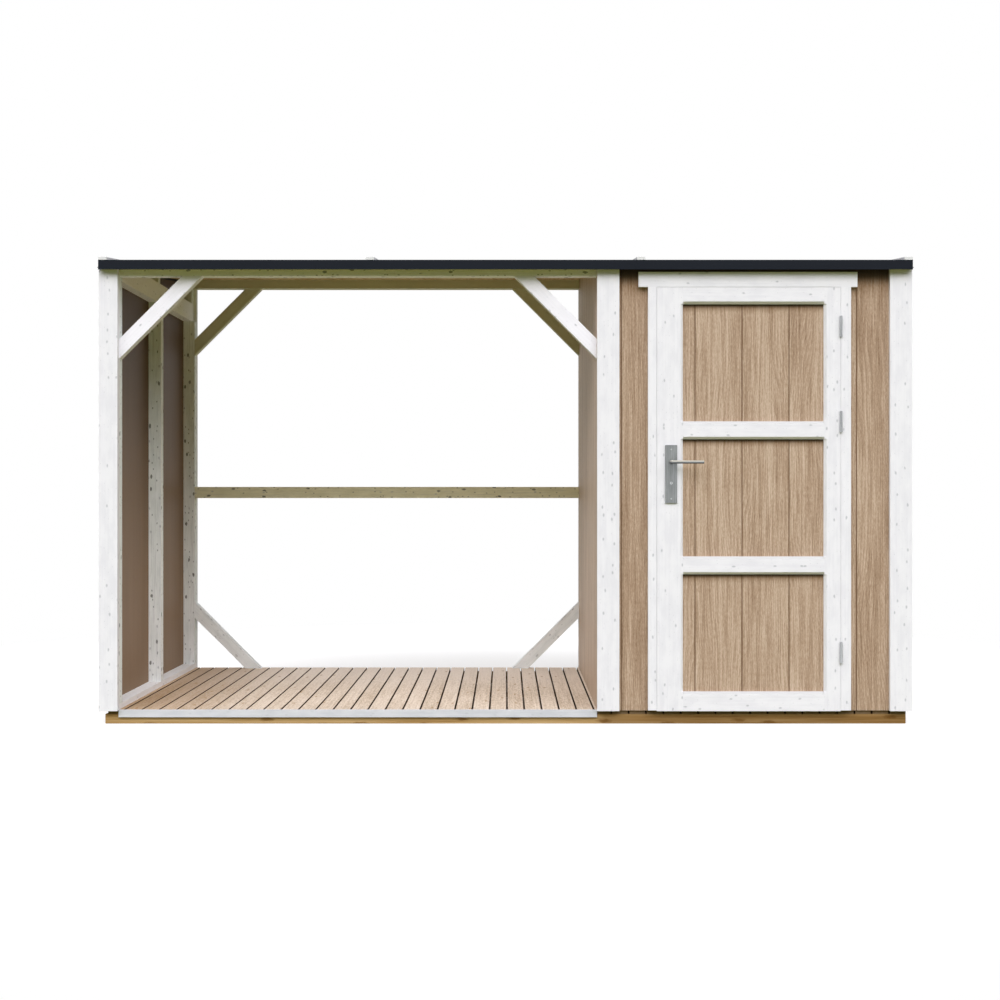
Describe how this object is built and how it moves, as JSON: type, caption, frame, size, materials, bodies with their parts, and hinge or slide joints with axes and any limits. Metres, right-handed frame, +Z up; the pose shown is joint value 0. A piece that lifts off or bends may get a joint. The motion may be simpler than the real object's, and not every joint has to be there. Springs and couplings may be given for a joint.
{
  "type": "log store",
  "caption": "Pent-roof garden log store with an open slatted firewood bay, braced open back, and a closed side shed with a panelled door.",
  "frame": {"origin": "on the ground under the middle of the building", "axes": "+Z up, +X to the right along the front, +Y from the front to the back"},
  "size_m": [3.5, 1.6405, 2.1906],
  "materials": {
    "white_paint": "white painted softwood with small knots",
    "tan_siding": "tan stained boards with long grain",
    "sill_wood": "brown pressure treated timber",
    "slat_wood": "pale planed boards",
    "frame_wood": "rough sawn timber",
    "black_metal": "black coated sheet",
    "roof_felt": "mineral roofing felt",
    "grey_batten": "pale grey painted lath",
    "steel": "satin grey steel"
  },
  "bodies": {
    "building": {"floor_edge_board": "white_paint", "wall_bottom_plates": "white_paint", "left_studs": "white_paint", "wall_top_plates": "white_paint", "front_braces": "white_paint", "left_post_facings": "white_paint", "gable_studs": "white_paint", "front_beam": "white_paint", "back_beam": "white_paint", "back_rail": "white_paint", "back_braces": "white_paint", "front_trims": "white_paint", "side_trims": "white_paint", "back_trims": "white_paint", "door_jambs": "white_paint", "door_stops": "white_paint", "door_head": "white_paint", "door_head_trim": "white_paint", "left_siding": "tan_siding", "right_siding": "tan_siding", "partition_siding": "tan_siding", "back_siding": "tan_siding", "front_siding": "tan_siding", "over_door_siding": "tan_siding", "long_sills": "sill_wood", "end_sills": "sill_wood", "floor_bearers": "sill_wood", "log_floor": "slat_wood", "shed_floor": "slat_wood", "cross_bottom_plates": "frame_wood", "partition_studs": "frame_wood", "right_studs": "frame_wood", "back_studs": "frame_wood", "roof_panels": "frame_wood", "drip_edges": "black_metal", "verge_trims": "black_metal", "roof_felt": "roof_felt", "roof_battens": "grey_batten", "hinge_frame_halves": "steel"},
    "door": {"door_panel": "tan_siding", "door_stiles": "white_paint", "door_rails": "white_paint", "door_ledges": "frame_wood", "hinge_door_halves": "steel", "handle_plates": "steel"},
    "lever": {"lever_handle": "steel"}
  },
  "joints": [
    {"name": "door_swing", "type": "hinge", "parent": "building", "child": "door", "pos_m": [1.44275, -0.785, 0.967], "axis": [0, 0, 1], "range_deg": [0, 110]},
    {"name": "lever_press", "type": "hinge", "parent": "door", "child": "lever", "pos_m": [0.7125, -0.767, 1.128], "axis": [0, 1, 0], "range_deg": [0, 40], "stiffness_Nm_per_rad": 2, "springref_deg": -17.19}
  ]
}
